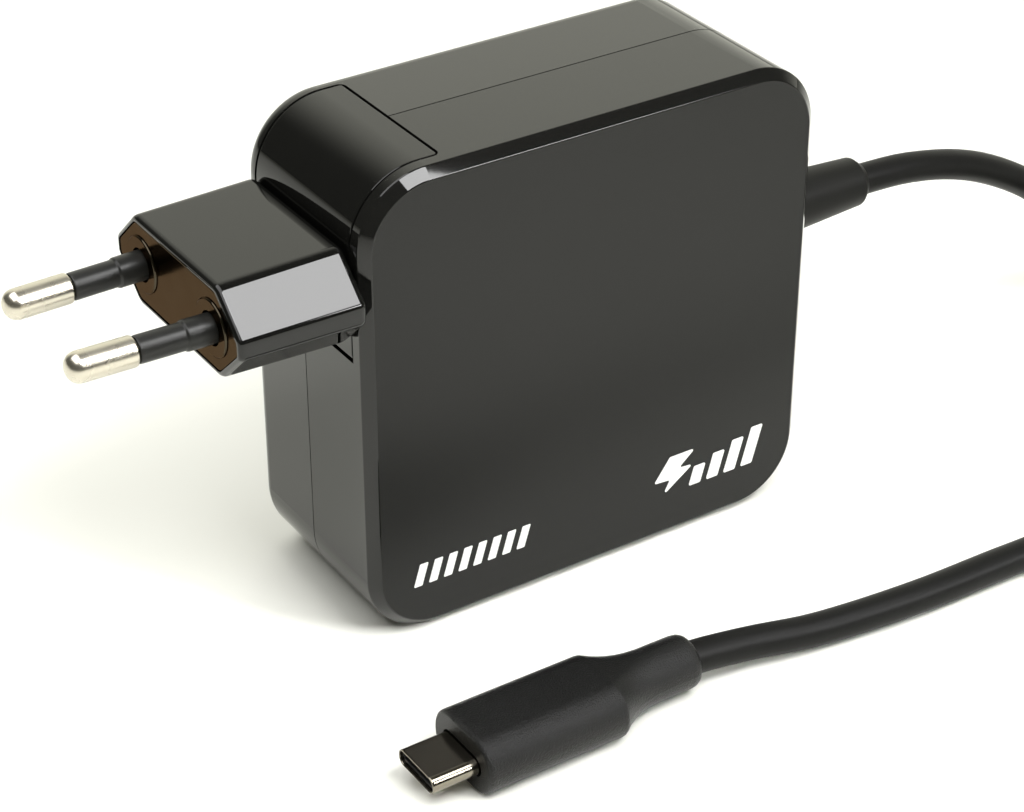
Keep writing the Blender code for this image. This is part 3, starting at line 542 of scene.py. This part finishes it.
def block_outline(inset):
    """The corner block seen from the front. Its outer corner follows the case's."""
    left = -body_side + inset
    right = -22.0 - inset
    low = 42.8 + inset
    high = body_top - inset
    corners = [(left, low), (right, low), (right, high), (left, high)]
    return filleted(corners, [0.6, 0.25, 0.25, case_corner - inset], corner_steps)


block_profile = [(0.22, 11.7), (0.07, 11.66), (0.0, 11.5)]
block_rings = [laid("Y", block_outline(i), -y) for i, y in block_profile]
block_rings += [laid("Y", block_outline(i), y) for i, y in reversed(block_profile)]
head = ring_mesh("plug_head_cover", block_rings)
head.data.materials.append(piano)
block_plan = [(-36.0, -12.5), (-22.0, -11.7), (-22.0, 11.7), (-36.0, 12.5)]
soft_corners = punch("Z", filleted(block_plan, [0, 0.9, 0.9, 0], 6), 40.0, 70.0)
carve(head, [soft_corners], "INTERSECT")
arm_profile = [
    (-52.8, 0.62), (-52.74, 0.4), (-52.6, 0.2), (-52.35, 0.06), (-52.0, 0.0), (-36.3, -0.3),
    (-35.9, -0.24), (-35.6, -0.08), (-35.4, 0.2), (-35.3, 0.6),
]
arm = ring_mesh("arm", [laid("X", arm_outline(i), x) for x, i in arm_profile])
arm_root = slab((-36.3, -10.5, 46.6), (-34.0, 10.5, 57.6))
joins = [arm_root, arm]
for side in (-1, 1):
    near, far = sorted((side * 11.2, side * 12.6))
    joins.append(slab((-30.0, near, 44.0), (-28.0, far, 48.0)))
carve(head, joins, "UNION")
plate_seat = punch("X", arm_outline(0.75, 1.7), -54.0, -50.4)
arm_bore = punch("X", arm_outline(2.2, 0.6), -50.9, -36.3)
block_room = slab((-37.3, -9.0, 46.4), (-24.5, 9.0, 56.1))
spring_groove = slab((-23.0, -1.6, 41.8), (-21.5, 1.6, 58.0))
hollows = [plate_seat, arm_bore, block_room, spring_groove]
for side in (-1, 1):
    blade = side * blade_offset
    hollows.append(slab((-30.6, blade - 1.0, 41.8), (-25.4, blade + 1.0, 47.0)))
carve(head, hollows)
shaded(head, 30)
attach(head, "plug_head")
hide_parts("plug_head_shell")

# The end plate snaps into the arm and holds the pins. It is a browner moulding, with a flat round
# land about each pin. Its sheen is brown as well, which only a metal's reflection gives.

brown = moulded_plastic("brown_black", (0.050, 0.042, 0.030), 0.16, 300.0, 0.000004, 0.3)
brown_shader = brown.node_tree.nodes["Principled BSDF"]
brown_shader.inputs["Metallic"].default_value = 1.0
brown_shader.inputs["Specular Tint"].default_value = (0.55, 0.48, 0.45, 1.0)
plate_profile = [(1.05, -52.72), (0.92, -52.68), (0.87, -52.5), (0.87, -50.6)]
plate = ring_mesh("end_plate", [laid("X", arm_outline(i, 1.7), x) for i, x in plate_profile])
plate.data.materials.append(brown)
bosses = []
pin_holes = []
for side in (-1, 1):
    spot = (arm_end, side * pin_offset, arm_middle)
    bosses.append(turned("land", [(-0.18, 3.7), (-0.1, 3.85), (0.4, 3.9), (1.0, 3.9)], spot))
    bosses.append(turned("boss", [(1.5, 3.3), (6.0, 3.3)], spot))
    pin_holes.append(turned("hole", [(-1.0, 2.3), (7.0, 2.3)], spot))
carve(plate, bosses, "UNION")
carve(plate, pin_holes)
shaded(plate, 30)
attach(plate, "plug_head")
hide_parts("pin_carrier")


# ================================================================ pins
# Two round brass pins, nickel plated and tumbled, 19 mm long, that lean together by half a
# millimetre. A black sleeve with a thicker collar is moulded round the base of each.

pin_length = 19.0
tip_start = 17.3
pin_lean = 0.55


def plated_metal(name, colour, roughness, scale, depth):
    """Plated metal: fine tooling marks, faint tarnish in the colour and a rubbed gloss."""
    material = bpy.data.materials.new(name)
    material.use_nodes = True
    tree = material.node_tree
    shader = tree.nodes["Principled BSDF"]
    shader.inputs["Metallic"].default_value = 1.0
    place = tree.nodes.new("ShaderNodeTexCoord")
    spread = tree.nodes.new("ShaderNodeMapping")
    spread.inputs["Scale"].default_value = (6.0, 1.0, 1.0)
    tree.links.new(place.outputs["Object"], spread.inputs["Vector"])
    marks = tree.nodes.new("ShaderNodeTexNoise")
    marks.inputs["Scale"].default_value = scale
    marks.inputs["Detail"].default_value = 5.0
    tree.links.new(spread.outputs["Vector"], marks.inputs["Vector"])
    bump = tree.nodes.new("ShaderNodeBump")
    bump.inputs["Strength"].default_value = 0.5
    bump.inputs["Distance"].default_value = depth
    tree.links.new(marks.outputs["Fac"], bump.inputs["Height"])
    tree.links.new(bump.outputs["Normal"], shader.inputs["Normal"])
    cloud = tree.nodes.new("ShaderNodeTexNoise")
    cloud.inputs["Scale"].default_value = 220.0
    cloud.inputs["Detail"].default_value = 4.0
    tree.links.new(place.outputs["Object"], cloud.inputs["Vector"])
    rub = tree.nodes.new("ShaderNodeMapRange")
    rub.inputs["To Min"].default_value = roughness * 0.7
    rub.inputs["To Max"].default_value = roughness * 1.3
    tree.links.new(cloud.outputs["Fac"], rub.inputs["Value"])
    tree.links.new(rub.outputs["Result"], shader.inputs["Roughness"])
    tint = tree.nodes.new("ShaderNodeMix")
    tint.data_type = "RGBA"
    tint.inputs["A"].default_value = (*[c * 0.88 for c in colour], 1.0)
    tint.inputs["B"].default_value = (*colour, 1.0)
    tree.links.new(cloud.outputs["Fac"], tint.inputs["Factor"])
    tree.links.new(tint.outputs["Result"], shader.inputs["Base Color"])
    return material


nickel = plated_metal("warm_nickel", (0.63, 0.59, 0.50), 0.27, 900.0, 0.000006)
sleeve_black = moulded_plastic(
    "pin_sleeve_black", (0.012, 0.012, 0.011), 0.36, 1500.0, 0.00002, 0.2, 0.28)
pin_profile = [
    (-7.9, 1.3), (10.2, 1.3), (10.2, 1.75), (10.32, 1.92), (10.55, 2.0), (tip_start, 2.0),
]
for k in range(1, 9):
    turn = math.pi / 2 * k / 8.6
    pin_profile.append((tip_start + 1.7 * math.sin(turn), 0.35 + 1.65 * math.cos(turn)))
pin_profile.append((pin_length, 0.25))
sleeve_profile = [
    (-1.6, 2.0), (3.55, 2.0), (3.75, 1.95), (3.85, 1.84), (4.0, 1.8), (9.75, 1.8), (9.95, 1.72),
    (10.0, 1.5), (-1.6, 1.5),
]
for place_name, side in (("front", -1), ("rear", 1)):
    spot = (arm_end, side * pin_offset, arm_middle)
    pin = turned(f"mains_pin_{place_name}", pin_profile, spot)
    pin.data.materials.append(nickel)
    sleeve = turned(f"pin_sleeve_{place_name}", sleeve_profile, spot, closed=True)
    sleeve.data.materials.append(sleeve_black)
    for piece in (pin, sleeve):
        piece.rotation_euler.z = math.pi + side * math.atan2(pin_lean, pin_length)
        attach(piece, "plug_head")
    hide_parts(f"pin_{place_name}")
    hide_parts(f"sleeve_{place_name}")


# ================================================================ strain relief
# A soft black sleeve moulded on the cable. Its flange sits inside the wall, and outside it tapers
# to a rounded end. It has a fine matt grain.

relief_black = moulded_plastic(
    "relief_pvc", (0.008, 0.008, 0.007), 0.48, 3000.0, 0.00002, 0.2, 0.17)
relief_profile = [
    (30.9, 5.2), (31.1, 5.4), (32.4, 5.4), (32.6, 5.2), (32.7, 3.7), (35.25, 3.7), (35.3, 4.7),
    (35.45, 4.78), (36.1, 4.75), (55.2, 3.62), (55.4, 3.54), (56.3, 2.8), (56.45, 2.66),
    (56.5, 2.4),
]
relief = turned("lead_relief", relief_profile, (0.0, *lead_axis))
relief.data.materials.append(relief_black)
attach(relief, "housing")
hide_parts("strain_relief")


# ================================================================ coil tie
# A hook-and-loop strap, 8 mm wide, wrapped once round the coil with its end lapped on top.

strap_cloth = moulded_plastic("strap_cloth", (0.014, 0.014, 0.015), 0.9, 2600.0, 0.0003, 0.05)
strap_x = coil_middle.x + coil_radius
strap_section = [
    (0.0, 4.0), (0.25, 4.1), (0.5, 3.9), (0.5, 0.0), (0.5, -3.9), (0.25, -4.1), (0.0, -4.0),
    (0.0, 0.0),
]
arc_points = 9
wrap_corners = [(9.75, 0.55), (9.75, 10.55), (-9.75, 10.55), (-9.75, 0.55)]
wrap = filleted(wrap_corners, 2.6, arc_points - 1)
wrap = wrap[arc_points:] + wrap[:2 * arc_points]
wrap_middle = 5.5
lap_start = 4 * arc_points
lap_rise = 0.52
strap_rings = []
for k, (x, z) in enumerate(wrap):
    back = Vector(wrap[max(k - 1, 0)])
    ahead = Vector(wrap[min(k + 1, len(wrap) - 1)])
    out = Vector(((ahead - back).y, -(ahead - back).x)).normalized()
    if out.dot(Vector((x, z - wrap_middle))) < 0:
        out.negate()
    lap = lap_rise if k >= lap_start else 0.0
    strap_rings.append([
        (strap_x + x + out.x * (rise + lap), coil_middle.y + y, z + out.y * (rise + lap))
        for rise, y in strap_section
    ])
strap = shaded(ring_mesh("coil_strap", strap_rings))
strap.data.materials.append(strap_cloth)
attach(strap, "housing")
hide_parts("coil_tie")


# ================================================================ USB-C plug
# A drawn steel shell, nickel plated, in a soft black grip that is moulded over the cable's end.
# The grip has a coarse spark-eroded grain and narrows through hollow shoulders to a round neck.

usb_mouth = -46.0
usb_face = usb_mouth + 6.65
grip_end = usb_face + 21.5
usb_place = Vector((0.0, -43.5, 4.0))


def usb_section(width, height, radius, steps=8):
    """A rounded rectangle, or one with full round ends where the radius allows."""
    half = width / 2
    rise = height / 2
    corners = [(-half, -rise), (half, -rise), (half, rise), (-half, rise)]
    return filleted(corners, min(radius, half * 0.998, rise * 0.998), steps)


grip_black = moulded_plastic("grip_pvc", (0.005, 0.005, 0.0047), 0.3, 4600.0, 0.00026, 0.2, 0.25)
grip_profile = [
    (usb_face, 12.2, 7.0, 3.3), (usb_face + 0.06, 12.6, 7.4, 3.5),
    (usb_face + 0.22, 12.95, 7.75, 3.65), (usb_face + 0.5, 13.15, 7.95, 3.75),
    (usb_face + 0.9, 13.2, 8.0, 3.8), (grip_end - 1.2, 13.2, 8.0, 3.8),
    (grip_end - 0.95, 13.12, 7.96, 3.8), (grip_end - 0.75, 12.95, 7.88, 3.8),
    (grip_end + 0.2, 11.6, 7.6, 3.75), (grip_end + 1.1, 10.5, 7.4, 3.7),
    (grip_end + 2.1, 9.5, 7.25, 3.6), (grip_end + 3.3, 8.6, 7.2, 3.58),
    (grip_end + 4.8, 7.9, 7.25, 3.6), (grip_end + 6.4, 7.5, 7.35, 3.66),
    (-6.3, 7.4, 7.4, 3.69), (-5.6, 7.2, 7.2, 3.59), (-5.15, 6.7, 6.7, 3.34),
    (-4.9, 6.0, 6.0, 2.99), (-4.85, 5.2, 5.2, 2.59),
]
grip = ring_mesh("usb_grip", [laid("X", usb_section(w, h, r), x) for x, w, h, r in grip_profile])
grip.location = usb_place * mm
grip.data.materials.append(grip_black)
pocket = punch("X", usb_section(8.75, 2.9, 1.45), usb_face - 1.0, usb_face + 13.0)
pocket.location = usb_place * mm
bpy.context.view_layer.update()
carve(grip, [pocket])
shaded(grip, 40)

shell_steel = plated_metal("shell_nickel", (0.23, 0.21, 0.17), 0.16, 700.0, 0.000002)
shell_profile = [
    (usb_mouth + 0.12, 0.0), (usb_mouth + 0.30, 0.0), (usb_face + 3.0, 0.0), (usb_face + 3.0, 0.25),
    (usb_mouth + 0.2, 0.25), (usb_mouth + 0.06, 0.22), (usb_mouth, 0.16), (usb_mouth, 0.1),
    (usb_mouth + 0.04, 0.03),
]
shell_rings = [
    laid("X", usb_section(8.25 - 2 * i, 2.4 - 2 * i, 1.2 - i, 10), x) for x, i in shell_profile
]
shell = shaded(ring_mesh("usb_shell", shell_rings, closed=True))
shell.location = usb_place * mm
shell.data.materials.append(shell_steel)
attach(grip, "housing")
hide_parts("usb_c_grip")
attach(shell, "housing")
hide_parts("usb_c_shell")


# ================================================================ mains contacts
# Stamped brass. Two strips in the plug head run from the pins to the slots over the housing's
# blades; short insulated wires carry on to the board, and a steel leaf keeps the head in place.


def dress(material, *names):
    """Give CAD solids that keep their shape a finished material."""
    for name in names:
        nodes[name].material_slots[0].material = material


stamped_brass = plated_metal("stamped_brass", (0.72, 0.53, 0.24), 0.28, 1200.0, 0.000006)
dress(stamped_brass,
      "contact_strip_front", "contact_strip_rear", "input_blade_front", "input_blade_rear")
spring_strip = plated_metal("spring_strip", (0.55, 0.56, 0.58), 0.25, 1500.0, 0.000004)
dress(spring_strip, "detent_spring")
brown_insulation = moulded_plastic("brown_insulation", (0.15, 0.06, 0.025), 0.4, 900.0, 0.00002)
dress(brown_insulation, "input_wire_front")
blue_insulation = moulded_plastic("blue_insulation", (0.035, 0.10, 0.38), 0.4, 900.0, 0.00002)
dress(blue_insulation, "input_wire_rear")


# ================================================================ boards and sheets
# The main board fills the rear half: glass-epoxy laminate with green resist over its tracks. A
# black film and a rolled aluminium plate on each side insulate it and spread its heat.


def printed_board(name, resist, track):
    """Solder resist, paler over the copper tracks, with tinned pads scattered along them."""
    material = bpy.data.materials.new(name)
    material.use_nodes = True
    tree = material.node_tree
    shader = tree.nodes["Principled BSDF"]
    shader.inputs["Roughness"].default_value = 0.3
    place = tree.nodes.new("ShaderNodeTexCoord")
    turn = tree.nodes.new("ShaderNodeMapping")
    turn.inputs["Rotation"].default_value = (math.radians(90), 0.0, 0.0)
    tree.links.new(place.outputs["Object"], turn.inputs["Vector"])
    tracks = tree.nodes.new("ShaderNodeTexBrick")
    tracks.inputs["Scale"].default_value = 120.0
    tracks.inputs["Mortar Size"].default_value = 0.06
    tracks.inputs["Color1"].default_value = (*resist, 1.0)
    tracks.inputs["Color2"].default_value = (*[c * 0.85 for c in resist], 1.0)
    tracks.inputs["Mortar"].default_value = (*track, 1.0)
    tree.links.new(turn.outputs["Vector"], tracks.inputs["Vector"])
    pads = tree.nodes.new("ShaderNodeTexVoronoi")
    pads.inputs["Scale"].default_value = 260.0
    tree.links.new(turn.outputs["Vector"], pads.inputs["Vector"])
    dot = tree.nodes.new("ShaderNodeMapRange")
    dot.inputs["From Min"].default_value = 0.24
    dot.inputs["From Max"].default_value = 0.20
    tree.links.new(pads.outputs["Distance"], dot.inputs["Value"])
    tin = tree.nodes.new("ShaderNodeMix")
    tin.data_type = "RGBA"
    tin.inputs["B"].default_value = (0.62, 0.62, 0.60, 1.0)
    tree.links.new(tracks.outputs["Color"], tin.inputs["A"])
    tree.links.new(dot.outputs["Result"], tin.inputs["Factor"])
    tree.links.new(tin.outputs["Result"], shader.inputs["Base Color"])
    tree.links.new(dot.outputs["Result"], shader.inputs["Metallic"])
    bump = tree.nodes.new("ShaderNodeBump")
    bump.inputs["Distance"].default_value = 0.00004
    tree.links.new(tracks.outputs["Fac"], bump.inputs["Height"])
    tree.links.new(bump.outputs["Normal"], shader.inputs["Normal"])
    return material


green_board = printed_board("green_board", (0.012, 0.10, 0.045), (0.03, 0.19, 0.08))
dress(green_board, "main_circuit_board", "usb_c_marker_board")
black_board = printed_board("black_board", (0.012, 0.014, 0.016), (0.03, 0.035, 0.04))
dress(black_board, "power_delivery_board")
black_film = moulded_plastic("black_film", (0.03, 0.03, 0.032), 0.25, 600.0, 0.00001)
dress(black_film, "front_insulating_sheet", "rear_insulating_sheet")
rolled_aluminium = plated_metal("rolled_aluminium", (0.74, 0.75, 0.77), 0.32, 800.0, 0.000008)
dress(rolled_aluminium, "front_heat_spreader", "rear_heat_spreader")


# ================================================================ mains input parts
# A ceramic-bodied fuse, a blue dipped varistor, a boxed yellow film capacitor and a choke: two
# coils of enamelled copper wire on one grey ferrite ring.


def wound(name, colour, spacing, axis, roughness, depth, metallic=0.0):
    """Wire or tape laid turn beside turn: ridges along an axis, with painted shade that darkens the
    grooves.
    """
    material = bpy.data.materials.new(name)
    material.use_nodes = True
    tree = material.node_tree
    shader = tree.nodes["Principled BSDF"]
    shader.inputs["Roughness"].default_value = roughness
    shader.inputs["Metallic"].default_value = metallic
    place = tree.nodes.new("ShaderNodeTexCoord")
    turns = tree.nodes.new("ShaderNodeTexWave")
    turns.bands_direction = axis
    turns.inputs["Scale"].default_value = 0.314 / spacing
    turns.inputs["Distortion"].default_value = 0.4
    tree.links.new(place.outputs["Object"], turns.inputs["Vector"])
    # Painted shade: the colour falls to four tenths of itself in the grooves between the turns.
    tint = tree.nodes.new("ShaderNodeMix")
    tint.data_type = "RGBA"
    tint.inputs["A"].default_value = (*[c * 0.4 for c in colour], 1.0)
    tint.inputs["B"].default_value = (*colour, 1.0)
    tree.links.new(turns.outputs["Fac"], tint.inputs["Factor"])
    tree.links.new(tint.outputs["Result"], shader.inputs["Base Color"])
    bump = tree.nodes.new("ShaderNodeBump")
    bump.inputs["Distance"].default_value = depth
    tree.links.new(turns.outputs["Fac"], bump.inputs["Height"])
    tree.links.new(bump.outputs["Normal"], shader.inputs["Normal"])
    return material


fuse_body = moulded_plastic("fuse_body", (0.74, 0.72, 0.66), 0.4, 1800.0, 0.00002)
dress(fuse_body, "fuse")
blue_dip = moulded_plastic("blue_dip", (0.025, 0.09, 0.30), 0.3, 700.0, 0.00008)
dress(blue_dip, "surge_varistor", "y_capacitor")
yellow_case = moulded_plastic("yellow_case", (0.70, 0.46, 0.05), 0.35, 1600.0, 0.00002)
dress(yellow_case, "x_capacitor")
ferrite = moulded_plastic("sintered_ferrite", (0.07, 0.07, 0.075), 0.55, 2600.0, 0.00004, 0.3)
dress(ferrite, "choke_core")
choke_wire = wound("choke_wire", (0.62, 0.22, 0.07), 0.0007, "Z", 0.28, 0.0002, 1.0)
dress(choke_wire, "choke_winding_left", "choke_winding_right")


# ================================================================ primary side
# Epoxy-moulded rectifier and switching transistor, the transistor clamped to a folded aluminium
# heatsink, and the bulk capacitor in its dark shrink sleeve.

epoxy = moulded_plastic("moulded_epoxy", (0.016, 0.016, 0.017), 0.5, 2400.0, 0.00003)
dress(epoxy, "bridge_rectifier", "switching_transistor", "optocoupler", "synchronous_rectifier")
dress(rolled_aluminium, "primary_heatsink", "secondary_heatsink")
shrink_sleeve = moulded_plastic("shrink_sleeve", (0.012, 0.016, 0.03), 0.22, 300.0, 0.00003)
dress(shrink_sleeve, "bulk_capacitor")


# ================================================================ transformer
# A two-window ferrite core through a moulded bobbin. The winding is finished with yellow polyester
# tape, and a soft grey pad carries its heat to the front plate.

dress(ferrite, "transformer_core")
bobbin_resin = moulded_plastic("bobbin_resin", (0.05, 0.04, 0.03), 0.45, 1500.0, 0.00002)
dress(bobbin_resin, "transformer_bobbin")
yellow_tape = wound("yellow_tape", (0.82, 0.60, 0.07), 0.0031, "Z", 0.3, 0.00005)
dress(yellow_tape, "transformer_winding")
soft_pad = moulded_plastic("soft_pad", (0.32, 0.38, 0.46), 0.8, 1200.0, 0.00006)
dress(soft_pad, "thermal_pad")


# ================================================================ output side
# Two aluminium-canned polymer capacitors, the red output wire beside its black return, and the
# gold-plated contacts in the USB-C plug's mouth.

capacitor_can = plated_metal("capacitor_can", (0.78, 0.78, 0.80), 0.24, 500.0, 0.000004)
dress(capacitor_can, "output_capacitor_upper", "output_capacitor_lower")
red_insulation = moulded_plastic("red_insulation", (0.42, 0.02, 0.02), 0.4, 900.0, 0.00002)
dress(red_insulation, "output_wire_positive")
black_insulation = moulded_plastic("black_insulation", (0.014, 0.014, 0.014), 0.4, 900.0, 0.00002)
dress(black_insulation, "output_wire_negative")
contact_resin = moulded_plastic("contact_resin", (0.02, 0.02, 0.022), 0.35, 1800.0, 0.00001)
dress(contact_resin, "usb_c_contact_block")
gold_flash = plated_metal("gold_flash", (0.88, 0.63, 0.22), 0.2, 1500.0, 0.000002)
dress(gold_flash, "usb_c_contacts_upper", "usb_c_contacts_lower")
